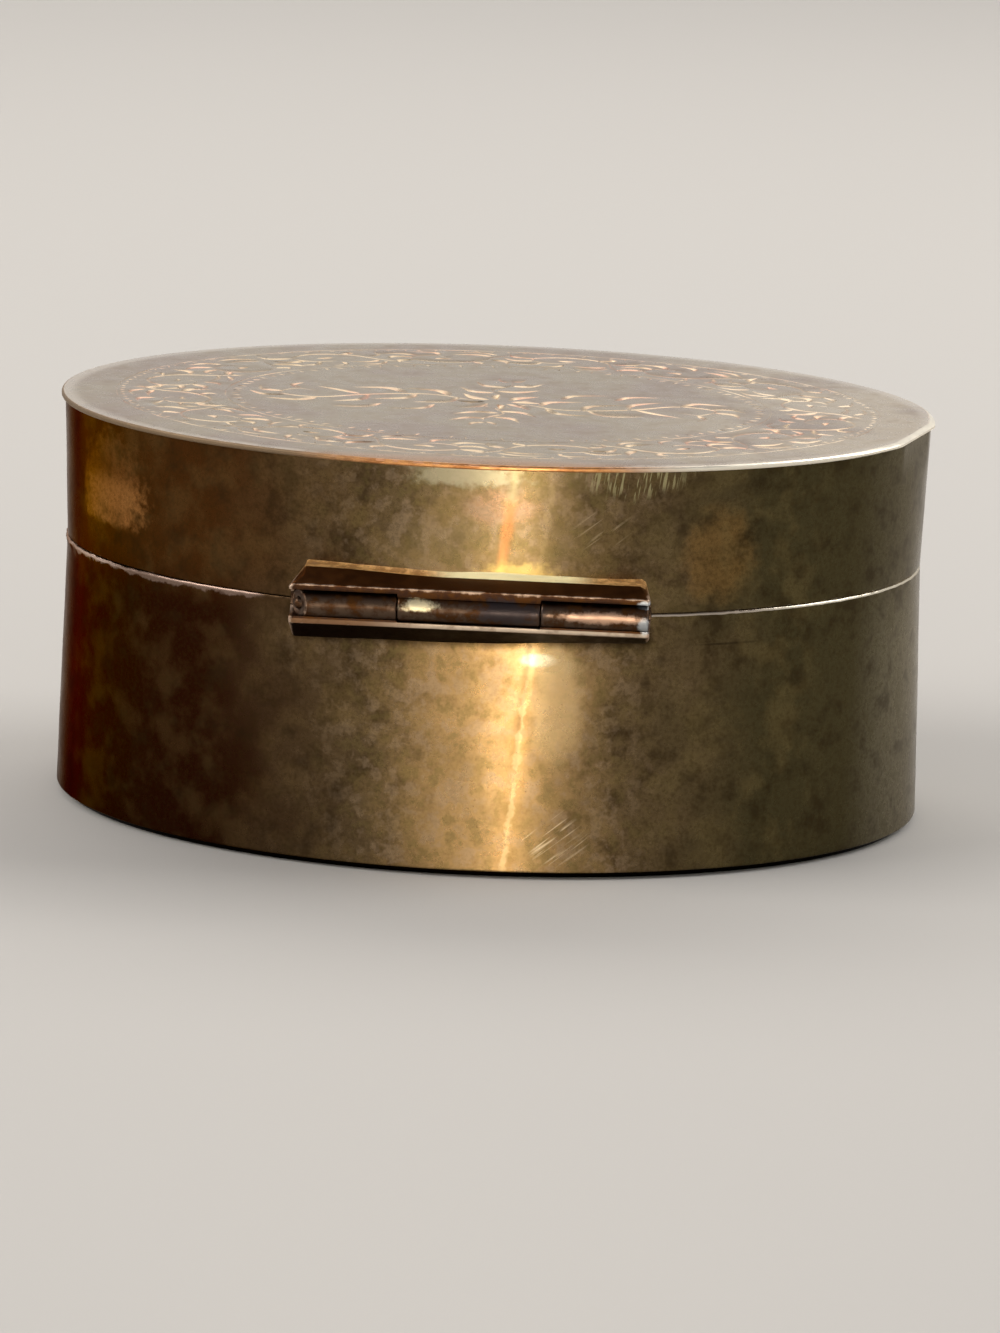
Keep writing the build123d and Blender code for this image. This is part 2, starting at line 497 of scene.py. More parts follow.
def base_plate_shape():
    """Bottom plate let into the base wall, with a softened edge and a gently uneven face."""
    count = 240
    inset = base_inset(0) + SHEET
    shape = Shape()
    starts = []
    # Each ring: extra inset, height, wear and tone; tone 1 on the edge is painted black by the material, a
    # painted shadow of the gap under the wall
    edge = [(0.35, 0.0, 0.0, 0.3), (0.12, 0.03, 0.0, 1.0), (0.02, 0.14, 0.0, 1.0), (0.0, 0.3, 0.0, 1.0),
            (0.0, FLOOR_HIGH.z - 0.05, 0.0, 1.0), (0.05, FLOOR_HIGH.z, 0.0, 0.2)]
    for extra, height, wear, tone in edge:
        ring = [on_oval(angle, inset + extra, height) for angle in even_angles(count)]
        starts.append(shape.add_ring(ring, [wear] * count, tone))
    shape.join_all(starts, count)

    def uneven(point):
        centred = 1 - (point.x / HALF_LENGTH) ** 2 - (point.y / HALF_WIDTH) ** 2
        return Vector((point.x, point.y, point.z + 0.12 * centred * noise.noise(point / 14)))

    add_disc(shape, starts[0], count, inset + 0.35, 0.0)
    add_disc(shape, starts[-1], count, inset + 0.05, FLOOR_HIGH.z, uneven)
    return shape


# Engraving: traditional leafy scrolls in a border, and a spray in the middle


def curve_points(knots, count):
    """Evenly stepped points of a smooth curve through knots."""
    padded = [knots[0] * 2 - knots[1]] + list(knots) + [knots[-1] * 2 - knots[-2]]
    spans = len(knots) - 1
    points = []
    for step in range(count):
        position = step / (count - 1) * spans
        span = min(int(position), spans - 1)
        t = position - span
        a, b, c, d = padded[span:span + 4]
        points.append(0.5 * (2 * b + (c - a) * t + (2 * a - 5 * b + 4 * c - d) * t * t
                             + (3 * b - a - 3 * c + d) * t ** 3))
    return points


class Cut:
    """One stroke of the graver: a centre line and its half width at each point."""

    def __init__(self, points, widest, closed=False, blunt=0.0):
        self.points = points
        self.closed = closed
        self.steepness = 1.0
        if closed:
            # Cut in many short strokes, so it swells and thins
            self.halves = [widest * max(0.05, 0.35 + 0.45 * noise.noise(p.to_3d() / 2.6)) for p in points]
        else:
            last = len(points) - 1
            self.halves = [0.0] * len(points)
            for i in range(1, last):
                swell = math.sin(math.pi * (i / last) ** (1 - 0.45 * blunt)) ** 0.75
                self.halves[i] = widest / 2 * swell

    def sides(self):
        """Left and right edge of the stroke."""
        left, right = [], []
        count = len(self.points)
        for i, point in enumerate(self.points):
            if self.closed:
                along = self.points[(i + 1) % count] - self.points[i - 1]
            else:
                along = self.points[min(i + 1, count - 1)] - self.points[max(i - 1, 0)]
            across = Vector((-along.y, along.x)).normalized() * self.halves[i]
            left.append(point + across)
            right.append(point - across)
        return left, right


def in_border(turn, across, middle=0.745, half=0.098):
    """Point of the border: turn goes round the oval in degrees, across runs from -1 inside to 1 outside."""
    share = middle + half * across
    angle = math.radians(turn)
    return Vector((HALF_LENGTH * share * math.cos(angle), HALF_WIDTH * share * math.sin(angle)))


def scroll_cuts(start_turn, span, flip, rng, leaf_width, line_width):
    """One leafy scroll of the border, curling in or out."""
    def at(u, v):
        jitter = 0.012 * rng.uniform(-1, 1)
        return in_border(start_turn + span * (u + jitter), flip * (v + 3 * jitter))

    stem = [(-0.08, -0.95), (0.14, -0.35), (0.3, 0.5), (0.58, 0.82), (0.84, 0.42), (0.8, -0.2), (0.6, -0.34),
            (0.52, 0.02)]
    cuts = [Cut(curve_points([at(u, v) for u, v in stem], 26), line_width * 1.7, blunt=0.6)]
    # Leaves spring from the outside of the curl, and smaller ones from inside the turn
    leaves = [
        ((0.2, 0.15), (0.06, 0.45), (0.05, 0.9), 1.0),
        ((0.36, 0.62), (0.26, 0.85), (0.32, 1.05), 0.7),
        ((0.84, 0.35), (1.0, 0.5), (1.04, 0.95), 1.0),
        ((0.82, -0.05), (0.98, -0.15), (1.08, 0.25), 0.9),
        ((0.74, -0.34), (0.86, -0.7), (1.04, -0.62), 0.9),
        ((0.56, -0.5), (0.6, -0.9), (0.78, -1.0), 0.8),
        ((0.16, -0.4), (0.3, -0.62), (0.48, -0.6), 0.9),
        ((0.12, -0.66), (0.26, -0.98), (0.46, -0.96), 0.7),
    ]
    for root, bend, tip, size in leaves:
        knots = [at(*root), at(*bend), at(*tip)]
        widest = leaf_width * size * rng.uniform(0.75, 1.1)
        cuts.append(Cut(curve_points(knots, 9), widest, blunt=0.8))
    cuts.append(Cut(curve_points([at(0.5, 0.2), at(0.58, 0.12), at(0.66, 0.2)], 6), leaf_width * 0.8))
    return cuts


def middle_placer(side, rng):
    """Function that sets down a point of the middle's ornament, a little out of true."""
    def at(x, y):
        return Vector((side * x + rng.uniform(-0.12, 0.12), side * y + rng.uniform(-0.12, 0.12)))

    return at


def leaf_cuts(leaves, at, steps, leaf_width, rng):
    """A cut for each leaf, which is given by its root, bend, tip and size."""
    cuts = []
    for root, bend, tip, size in leaves:
        widest = leaf_width * size * rng.uniform(0.85, 1.1)
        cuts.append(Cut(curve_points([at(*root), at(*bend), at(*tip)], steps), widest, blunt=0.8))
    return cuts


def spray_cuts(side, rng, leaf_width, line_width):
    """Half of the spray in the middle of the lid: a curved stem with leaves on both sides."""
    at = middle_placer(side, rng)
    stem = [(2.5, -0.4), (7, -2.8), (13, -1.6), (18.5, 1.6), (22.5, 0.2), (21, -2.6), (18.6, -1.6)]
    leaves = [
        ((4.2, -1.6), (5.2, 1.0), (8.8, 2.0), 1.2), ((5.0, -2.2), (6.4, -5.0), (10.2, -5.6), 1.2),
        ((8.6, -2.8), (9.6, -0.2), (13.2, 1.2), 1.1), ((9.4, -2.8), (11.6, -5.2), (15.4, -4.8), 1.1),
        ((13.4, -1.4), (13.8, 1.6), (17.0, 3.6), 1.0), ((14.2, -1.0), (16.6, -3.0), (19.2, -4.6), 0.9),
        ((18.6, 1.6), (20.4, 3.6), (23.8, 3.2), 1.0), ((21.8, 1.0), (24.0, 1.4), (25.8, -0.4), 0.9),
        ((22.2, -0.8), (24.6, -1.4), (25.0, -3.8), 0.9), ((20.6, -2.8), (21.6, -4.6), (20.6, -6.2), 0.9),
        ((6.4, 2.6), (7.4, 5.2), (11.2, 6.0), 1.0), ((11.8, 3.4), (13.4, 5.6), (16.6, 6.2), 0.9),
    ]
    stroke = Cut(curve_points([at(x, y) for x, y in stem], 34), line_width * 1.8, blunt=0.7)
    return [stroke] + leaf_cuts(leaves, at, 10, leaf_width, rng)


def sprig_cuts(side, rng, leaf_width, line_width):
    """Short upright sprig above (1) or below (-1) the middle of the lid."""
    at = middle_placer(side, rng)
    stem = [(0.3, 3.4), (-1.0, 6.4), (0.8, 9.6), (0.2, 13.2)]
    leaves = [
        ((-0.6, 5.0), (-3.0, 5.6), (-4.6, 8.0), 1.0), ((-0.6, 6.2), (1.8, 6.0), (4.0, 7.6), 1.0),
        ((0.2, 8.4), (-2.0, 9.0), (-3.0, 11.4), 0.9), ((0.7, 9.4), (2.6, 9.4), (4.2, 11.2), 0.9),
        ((0.5, 11.2), (-0.6, 12.2), (-0.8, 14.0), 0.7), ((0.5, 11.6), (1.8, 12.2), (2.2, 13.8), 0.7),
    ]
    stroke = Cut(curve_points([at(x, y) for x, y in stem], 20), line_width * 1.7, blunt=0.7)
    return [stroke] + leaf_cuts(leaves, at, 9, leaf_width, rng)


def polar(angle, radius):
    """Point at an angle and a distance from the middle."""
    return Vector((math.cos(angle) * radius, math.sin(angle) * radius))


def rosette_cuts(rng, leaf_width):
    """Eight petals round the middle, with a ring of short cuts between them."""
    cuts = []
    for i in range(8):
        angle = 2 * math.pi * i / 8 + rng.uniform(-0.05, 0.05)
        reach = 5.6 if i % 2 else 4.4
        knots = [polar(angle, 1.3), polar(angle + 0.16, reach * 0.6), polar(angle, reach)]
        cuts.append(Cut(curve_points(knots, 9), leaf_width * 1.15, blunt=0.2))
        cuts.append(Cut([polar(angle + math.pi / 8, r) for r in (2.4, 3.0, 3.6)], leaf_width * 0.4))
    return cuts


def tick_cuts(count, share, length, lean, rng, width):
    """Row of short cuts round the oval, leaning one way and the other by turns."""
    cuts = []
    for i in range(count):
        turn = 360 * (i + rng.uniform(-0.12, 0.12)) / count
        middle = in_border(turn, 0, share, 0)
        outward = middle.normalized()
        sideways = Vector((-outward.y, outward.x))
        way = (outward + sideways * (lean if i % 2 else -lean)).normalized() * length / 2
        points = [middle - way, middle - way * 0.3, middle + way * 0.4, middle + way]
        cuts.append(Cut(points, width * rng.uniform(0.8, 1.2)))
    return cuts


def oval_line(share, rng, width):
    """One fine line all the way round."""
    points = [in_border(360 * i / 260, 0, share + 0.0012 * rng.uniform(-1, 1), 0) for i in range(260)]
    return Cut(points, width, closed=True)


def engraved_cuts(settings):
    """Every cut on the lid."""
    rng = random.Random(settings.seed)
    leaf = settings.leaf_width / MM
    line = settings.line_width / MM
    cuts = [oval_line(share, rng, line) for share in (0.875, 0.625)]
    cuts += tick_cuts(150, 0.861, 0.8, 0.9, rng, line)
    cuts += tick_cuts(96, 0.6, 1.1, 0.25, rng, line * 1.3)
    span = 360 / settings.scrolls
    for i in range(settings.scrolls):
        cuts += scroll_cuts(i * span, span, 1 if i % 2 else -1, rng, leaf, line)
    for side in (1, -1):
        cuts += spray_cuts(side, rng, leaf, line)
        cuts += sprig_cuts(side, rng, leaf, line)
    cuts += rosette_cuts(rng, leaf)
    for cut in cuts:
        cut.steepness = rng.uniform(0.6, 1.2)
    return cuts


class CutDepths:
    """Depth below the lid's face at any point, from the cuts near it, which square cells list."""

    CELL = 1.5

    def __init__(self, cuts, slope):
        self.slope = slope
        self.cells = {}
        for cut in cuts:
            count = len(cut.points)
            for i in range(count if cut.closed else count - 1):
                j = (i + 1) % count
                start, end = cut.points[i], cut.points[j]
                run = (start, end, cut.halves[i], cut.halves[j], cut.steepness)
                widest = max(cut.halves[i], cut.halves[j])
                low = [math.floor((min(start[k], end[k]) - widest) / self.CELL) for k in (0, 1)]
                high = [math.floor((max(start[k], end[k]) + widest) / self.CELL) for k in (0, 1)]
                for x in range(low[0], high[0] + 1):
                    for y in range(low[1], high[1] + 1):
                        self.cells.setdefault((x, y), []).append(run)

    def at(self, point):
        """Depth in millimetres, 0 on the face."""
        cell = (math.floor(point.x / self.CELL), math.floor(point.y / self.CELL))
        deepest = 0.0
        for start, end, start_half, end_half, steepness in self.cells.get(cell, ()):
            along = end - start
            share = (point - start).dot(along) / max(along.length_squared, 1e-9)
            share = min(1.0, max(0.0, share))
            gap = (point - start - along * share).length
            deepest = max(deepest, (mix(start_half, end_half, share) - gap) * steepness)
        return deepest * self.slope


def face_lines(rim, cuts, depths):
    """Points and lines of the lid's face: its rim, each cut's edges and middle, and a loose grid between."""
    coords = list(rim)
    lines = [(i, (i + 1) % len(rim)) for i in range(len(rim))]
    for cut in cuts:
        left, right = cut.sides()
        for row in (left, cut.points, right):
            start = len(coords)
            coords += row
            lines += [(start + i, start + i + 1) for i in range(len(row) - 1)]
            if cut.closed:
                lines.append((start + len(row) - 1, start))
    step = 2.4
    for i in range(-18, 19):
        for j in range(-14, 15):
            spot = Vector((i * step + step / 4 * (j % 2), j * step))
            inside = (spot.x / (HALF_LENGTH - 1)) ** 2 + (spot.y / (HALF_WIDTH - 1)) ** 2 < 1
            if inside and depths.at(spot) == 0:
                coords.append(spot)
    return coords, lines


def add_face(shape, rim, settings):
    """Add the lid's engraved face, and return the number of each rim point in the shape."""
    bright_depth = 0.12
    cuts = engraved_cuts(settings)
    depths = CutDepths(cuts, settings.cut_slope)
    coords, lines = face_lines(rim, cuts, depths)
    flat, _, triangles, sources, _, _ = delaunay_2d_cdt(coords, lines, [], 0, 1e-5)
    numbers = [None] * len(rim)
    for number, spot in enumerate(flat):
        depth = depths.at(spot)
        inside = max(0.0, 1 - (spot.x / HALF_LENGTH) ** 2 - (spot.y / HALF_WIDTH) ** 2)
        wave = min(1.0, inside * 3) * 0.05 * noise.noise(Vector((spot.x / 16, spot.y / 16, 4)))
        shape.points.append((spot.x, spot.y, PLATE_HIGH.z + wave - depth))
        shape.wear.append(min(1.0, depth / bright_depth))
        shape.tone.append(0.0)
        for source in sources[number]:
            if source < len(rim):
                numbers[source] = number
    shape.faces += [tuple(face) for face in triangles]
    return numbers


def lid_plate_shape(settings):
    """Flat plate with its engraving cut in, a worn edge and a plain underside."""
    count = 360
    edge_round = 0.25
    shape = Shape()
    rim = [plate_rim(angle, edge_round * widening(angle), 0).to_2d() for angle in even_angles(count)]
    previous = add_face(shape, rim, settings)

    # The edge, rounded above and eased below, then the underside
    thick = PLATE_HIGH.z - PLATE_LOW.z
    edge = [(edge_round * (1 - math.sin(a)), edge_round * (1 - math.cos(a)), 1.0)
            for a in (math.radians(d) for d in (20, 40, 60, 78))]
    edge += [(0.0, thick * 0.5, 0.0), (0.0, thick - 0.15, 0.3), (0.06, thick - 0.04, 0.6), (0.18, thick, 0.3)]
    for inset, down, wear in edge:
        ring = []
        for angle in even_angles(count):
            chip = 0.03 * noise.noise(Vector((angle * 30, down * 2, 1)))
            ring.append(plate_rim(angle, inset * widening(angle) + abs(chip), PLATE_HIGH.z - down))
        start = shape.add_ring(ring, [wear] * count, 1.0)
        for i in range(count):
            j = (i + 1) % count
            shape.faces.append((previous[i], previous[j], start + j, start + i))
        previous = [start + i for i in range(count)]
    add_disc(shape, previous[0], count, 0.18, PLATE_LOW.z)
    return shape


# Hinge


def wall_y(across, inset):
    """How far out the oval's side is at a distance across."""
    share = across / (HALF_LENGTH - inset)
    return (HALF_WIDTH - inset) * math.sqrt(max(0.0, 1 - share * share))


def groove_outline(side, seam_z, radius, land_y, lip_wear):
    """Corners of the round groove, from the seam to the land."""
    start = math.pi - math.asin((seam_z - PIN_Z) / radius)
    end = math.acos((LAND_Y - PIN_Y) / radius)
    if side < 0:
        end = 2 * math.pi - end
    corners = []
    for step in range(15):
        angle = mix(start, end, step / 14)
        corners.append((PIN_Y + radius * math.cos(angle), PIN_Z + radius * math.sin(angle), 0.0, 0.0))
    corners[-1] = (land_y, corners[-1][1], 0.07, lip_wear)
    return corners


def bearer_section(side, x, radius, eased):
    """Rounded outline of a bearer where it is cut across, as (y, z, wear) points."""
    seam_z = LOWER_HIGH.z if side < 0 else UPPER_LOW.z
    rise = LOWER_DROP if side < 0 else UPPER_RISE
    inset_at = base_inset if side < 0 else lid_inset
    # Filed by eye: the upper ridge climbs at the left end, and the lower bearer thins to the right
    to_right = 0.5 - 0.5 * x / UPPER_HIGH.x
    land_y = LAND_Y - eased
    if side > 0:
        land_z = PIN_Z + LAND_HALF_HEIGHT - eased + 0.22
        ridge_z = PIN_Z + rise - eased + 0.1 + 0.5 * smooth_step(2, 17, x)
    else:
        land_z = PIN_Z - LAND_HALF_HEIGHT + eased + 0.12 * to_right
        ridge_z = PIN_Z - rise + eased + 0.9 * to_right ** 1.85
    wall = wall_y(abs(x), inset_at(ridge_z))
    solder = min(0.5, 0.9 * (RIDGE_Y - wall))
    climb = side * (0.8 if side > 0 else 0.25)
    corner_wear, lip_wear = (0.75, 0.1) if side > 0 else (0.5, 0.3)

    def slope(share, swell, wear):
        return mix(land_y, RIDGE_Y, share), mix(land_z, ridge_z, share) + side * swell, 0.0, wear

    groove = groove_outline(side, seam_z, radius, land_y, lip_wear)
    corners = [(wall - 0.4, seam_z, 0.0, 0.0)] + groove + [
        (land_y, mix(groove[-1][1], land_z, 0.45), 0.0, 0.1),
        (land_y, land_z, 0.1, corner_wear),
        slope(0.1, 0.0, 0.1),
        slope(0.5, 0.03, 0.0),
        slope(0.93, 0.0, 0.1),
        (RIDGE_Y, ridge_z, 0.13, 0.45),
        (wall + solder, ridge_z + side * 0.02, 0.0, 0.4),
        (wall + 0.35 * solder, ridge_z + 0.3 * climb, 0.0, 0.3),
        (wall + 0.1 * solder, ridge_z + 0.65 * climb, 0.0, 0.2),
        (wall - 0.02, ridge_z + climb, 0.0, 0.1),
        (wall - 0.4, ridge_z + climb, 0.0, 0.0),
    ]
    return round_corners(corners, 3)


def bearer_shape(side, middle_radius, outer_radius):
    """Half of the hinge's seat, with worn edges and solder feathered on to the wall."""
    half = UPPER_HIGH.x
    turn = 0.28
    body = [i * 0.5 for i in range(int((half - turn) / 0.5) + 1) if abs(i * 0.5 - SPLIT_X) > 0.1]
    right = sorted(body + [SPLIT_X - 0.02, SPLIT_X + 0.02] + [half - e for e in (0.0, 0.04, 0.1, 0.18, turn)])
    rise = LOWER_DROP if side < 0 else UPPER_RISE
    left_cut, right_cut = (0.25, 1.0) if side < 0 else (1.25, 0.9)
    shape = Shape()
    starts = []
    for x in [-x for x in reversed(right[1:])] + right:
        into = half - abs(x)
        eased = turn - math.sqrt(max(0.0, turn ** 2 - (turn - min(into, turn)) ** 2))
        radius = middle_radius if abs(x) < SPLIT_X else outer_radius
        section = bearer_section(side, x, radius, eased)
        ring = []
        for y, z, wear in section:
            beyond = min(1.0, max(0.0, side * (z - PIN_Z) - LAND_HALF_HEIGHT) / (rise - LAND_HALF_HEIGHT))
            cut = left_cut * beyond if x > 0 else right_cut * beyond ** 1.8
            nibble = 0.07 * wear * noise.noise(Vector((x / 0.9, z * 2, side * 5)))
            ring.append(Vector((x * (1 - cut / half), y - abs(nibble), z + nibble * 0.6)))
        starts.append(shape.add_ring(ring, [wear for y, z, wear in section]))
        # The last seven points are the ledge and its solder
        shape.tone[-7:] = [1.0] * 7
    count = len(bearer_section(side, 0, middle_radius, 0))
    shape.join_all(starts, count)
    shape.faces.append(tuple(starts[0] + i for i in range(count)))
    shape.faces.append(tuple(starts[-1] + i for i in reversed(range(count))))
    for number, point in enumerate(shape.points):
        if point.y > RIDGE_Y and abs(point.x) > half - 0.7:
            shape.wear[number] = max(shape.wear[number], smooth_step(half - 0.7, half - 0.1, abs(point.x)))
    return shape


def knuckle_shape(low_x, high_x, seed, oblique):
    """Tube on the pin's axis, with rounded, slightly uneven ends. oblique cuts the far end at a slant."""
    outline = divide_runs(round_corners([
        (low_x, KNUCKLE_RADIUS, 0.18, 0.45),
        (high_x, KNUCKLE_RADIUS, 0.18, 0.6 if oblique else 0.45),
        (high_x, BORE_RADIUS, 0.08, 0.45 if oblique else 0.3),
        (low_x, BORE_RADIUS, 0.08, 0.3),
    ], 3), 0.5)
    shape = Shape()
    starts = []
    for angle in even_angles(48):
        ring = []
        out, up = math.cos(angle), math.sin(angle)
        for along, radius, wear in outline:
            if radius > BORE_RADIUS + 0.1:
                radius += 0.02 * noise.noise(Vector((along / 1.2, out * 2 + seed, up * 2))) - 0.02
            near_end = smooth_step(0.7, 1.0, (along - low_x) / (high_x - low_x))
            cut = oblique * near_end * (radius * out / KNUCKLE_RADIUS + 1) / 2
            ring.append(Vector((along - cut, PIN_Y + radius * out, PIN_Z + radius * up)))
        starts.append(shape.add_ring(ring, [wear for along, radius, wear in outline]))
    shape.join_all(starts, len(outline), closed=True)
    return shape


def pin_shape():
    """Wire with domed ends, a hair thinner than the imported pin."""
    shape = Shape()
    around = 32
    thinned = PIN_RADIUS * 0.995
    dome = [(0.0, 0.3), (0.05, 0.6), (0.2, 0.9), (0.45, 1.0)]
    stations = [(PIN_LOW.x + into, share) for into, share in dome]
    stations += [(x, 1.0) for x in range(-15, 16, 3)]
    stations += [(PIN_HIGH.x - into, share) for into, share in reversed(dome)]
    starts = []
    for x, share in stations:
        radius = thinned * share
        ring = [Vector((x, PIN_Y + radius * math.cos(a), PIN_Z + radius * math.sin(a)))
                for a in even_angles(around)]
        starts.append(shape.add_ring(ring, [0.3] * around))
    shape.join_all(starts, around)
    shape.faces.append(tuple(starts[0] + i for i in range(around)))
    shape.faces.append(tuple(starts[-1] + i for i in range(around)))
    return shape


# Materials


# Settings that these kinds of node have throughout: every range is eased, and every mix is of colours
USUAL = {"MapRange": {"interpolation_type": "SMOOTHSTEP"}, "Mix": {"data_type": "RGBA"}}


def add_node(tree, kind, *values, named=None, **settings):
    """Add a node, set its properties, give its inputs values or links, and return its first output in use.

    The values are numbers, vectors, sRGB hex colours or sockets, in the order of the inputs in use.
    named holds more of them, by the input's name.
    """
    node = tree.nodes.new("ShaderNode" + kind)
    for name, value in {**USUAL.get(kind, {}), **settings}.items():
        setattr(node, name, value)
    in_use = [socket for socket in node.inputs if socket.enabled]
    given = list(zip(in_use, values)) + [(node.inputs[name], value) for name, value in (named or {}).items()]
    for socket, value in given:
        if isinstance(value, bpy.types.NodeSocket):
            tree.links.new(value, socket)
        else:
            socket.default_value = linear(value) if isinstance(value, str) else value
    return next((socket for socket in node.outputs if socket.enabled), None)


class BrassNodes:
    """A metal surface, places on it in millimetres, and the colour that is laid on it in layers.

    A noise texture's scale is 1 over the size of its patches in millimetres.
    """

    def __init__(self, name):
        self.material = bpy.data.materials.get(name) or bpy.data.materials.new(name)
        self.material.use_nodes = True
        self.tree = self.material.node_tree
        self.tree.nodes.clear()
        self.surface = self.add("BsdfPrincipled", named={"Metallic": 1.0}).node
        self.add("OutputMaterial", self.surface.outputs["BSDF"])
        place = self.add("TexCoord").node.outputs["Object"]
        self.place = self.add("VectorMath", place, 1 / MM, operation="SCALE")
        self.wear = self.add("Attribute", attribute_name="wear").node.outputs["Fac"]
        self.tone = self.add("Attribute", attribute_name="tone").node.outputs["Fac"]
        self.across, inwards, self.height = self.add("SeparateXYZ", self.place).node.outputs
        self.behind = self.add("MapRange", inwards, 6, 12)

    def add(self, kind, *values, **settings):
        """Add a node to this material."""
        return add_node(self.tree, kind, *values, **settings)

    def times(self, first, *others):
        """Product."""
        for other in others:
            first = self.add("Math", first, other, operation="MULTIPLY")
        return first

    def plus(self, first, *others):
        """Sum."""
        for other in others:
            first = self.add("Math", first, other, operation="ADD")
        return first

    def distance(self, value, middle):
        """How far a value is from the middle, either way."""
        shift = self.add("Math", value, middle, operation="SUBTRACT")
        return self.add("Math", shift, operation="ABSOLUTE")

    def cover(self, colour, *shares):
        """Lay a colour over what is there, by the product of the shares."""
        self.colour = self.add("Mix", self.times(*shares), self.colour, colour)

    def drift(self, pattern, amount):
        """Shift of up to about half of amount either way, from a cloudy pattern."""
        return self.times(self.add("Math", pattern, 0.5, operation="SUBTRACT"), amount)

    def spot(self, centre, reach, ragged=None):
        """1 in a soft-edged patch round a point, in millimetres. ragged is a small shift of its edge."""
        away = self.add("VectorMath", self.place, centre, operation="SUBTRACT")
        away = self.add("VectorMath", away, reach, operation="DIVIDE")
        far = self.add("VectorMath", away, operation="LENGTH")
        return self.add("MapRange", self.plus(far, ragged or self.ragged), 1.0, 0.45)

    def daub(self, colour, centre, reach, *shares, ragged=None):
        """Lay a colour in a soft-edged patch round a point."""
        self.cover(colour, self.spot(centre, reach, ragged), *shares)

    def scratches(self, lean, length, spacing, sparse):
        """Thin marks that lean by an angle from upright. The higher sparse is, the fewer there are."""
        named = {"Vector": self.place, "Angle": lean}
        turned = self.add("VectorRotate", named=named, rotation_type="Y_AXIS")
        drawn = self.add("VectorMath", turned, (1 / spacing, 0.02, 1 / length), operation="MULTIPLY")
        return self.add("MapRange", self.add("TexNoise", drawn, 1.0, 1.0, 0.5), sparse, sparse + 0.1)

    def untouched(self, patina, cloud):
        """Colour of brass that is seldom touched."""
        return self.add("Mix", self.add("MapRange", cloud, 0.35, 0.7), patina.inside, "#A18A5A")

    def finish(self, roughness, bumps):
        """Link the colour, the roughness and a bump for each (pattern, depth in millimetres)."""
        inputs = {"Base Color": self.colour, "Roughness": roughness}
        for pattern, depth in bumps:
            bump = {"Height": pattern, "Distance": depth * MM, "Strength": 1.0}
            if "Normal" in inputs:
                bump["Normal"] = inputs["Normal"]
            inputs["Normal"] = self.add("Bump", named=bump)
        self.connect(inputs)
        return self.material

    def connect(self, sockets):
        """Link sockets to the surface's inputs, by name."""
        for name, socket in sockets.items():
            self.tree.links.new(socket, self.surface.inputs[name])


def lay_tarnish(brass, patina, along, column):
    """Browns to the left and olives to the right, partly tarnish and partly painted shade, over a rubbed
    middle that is partly a painted highlight, and the patches at both ends.
    """
    add = brass.add
    across, height, patch = brass.across, brass.height, brass.patch
    # The rubbed middle, greyer on the lid, is partly rubbing and partly a painted highlight column
    rubbed = add("Mix", add("MapRange", height, 27, 33), patina.rubbed, "#957F58")
    brass.colour = add("Mix", column, patina.dull, rubbed)
    brass.daub("#C49A7C", (-2.5, 34, 37.5), (5.2, 4, 2.3), 0.5)
    # Browns towards the left end, darkest low down, and olive towards the right: partly tarnish and partly
    # painted shade
    brass.cover(add("Mix", add("MapRange", height, 24, 30), patina.dark, patina.warm),
                add("MapRange", along, 7, 27))
    brass.cover(patina.olive, add("MapRange", along, -14, -31))
    # The right end is greyer in patches, more so low down: partly handling marks and partly a painted
    # reflection of the grey sheen at the end
    brass.cover("#8A836E", add("MapRange", across, -37, -43), add("MapRange", height, 30, 20, 0.4, 1.0),
                add("MapRange", patch, 0.3, 0.62, 0.45, 0.8))
    # The amber patch stops short at the end and below, and fades to brown upwards
    amber = add("Mix", add("MapRange", height, 34.2, 36.6), patina.amber, "#6A4424")
    brass.daub(amber, (38, 17, 34.2), (5.2, 14, 7.5), add("MapRange", across, 41.2, 40.7),
               add("MapRange", brass.plus(height, brass.drift(patch, 2.5)), 30.3, 31.2),
               ragged=brass.broken)
    tip = add("Mix", add("MapRange", height, SEAM_Z - 0.1, SEAM_Z + 0.3), "#40261A", "#4C3828")
    brass.cover(tip, add("MapRange", across, 40.6, 41.6))
    brass.daub("#8E6B3A", (-24, 28, 32.5), (4.5, 12, 6), 0.5)
    # A thin dark line runs along the base, right of the hinge
    brass.daub("#1A120A", (-25.5, 27, 23.6), (4, 8, 0.16), 0.5, ragged=brass.drift(patch, 0.4))
    brass.cover("#2A1E10", add("MapRange", patch, 0.45, 0.68), add("MapRange", column, 0.0, 1.0, 0.6, 0.25))


def lay_marbling(brass, along, column):
    """Beige, olive and lighter patches where the walls are lightest, and a fine dark grain."""
    add = brass.add
    marbled = add("TexNoise", brass.place, 1 / 1.7, 4, 0.6)
    lightest = add("MapRange", brass.distance(along, -2.0), 22, 6, 0.0, 0.42)
    brass.cover("#B0977A", add("MapRange", marbled, 0.5, 0.62), lightest)
    brass.cover("#7A6C3E", add("MapRange", marbled, 0.49, 0.38), lightest)
    lighter = add("Mix", add("MapRange", brass.across, -8, -20), "#A38654", "#786842")
    brass.cover(lighter, add("MapRange", add("TexNoise", brass.place, 1 / 4.2, 4, 0.55), 0.44, 0.66),
                add("MapRange", along, 18, 6, 0.08, 0.33), add("MapRange", brass.across, -36, -31))
    brass.cover("#35260F", add("MapRange", brass.grain, 0.42, 0.66),
                add("MapRange", column, 0.0, 1.0, 0.35, 0.14))


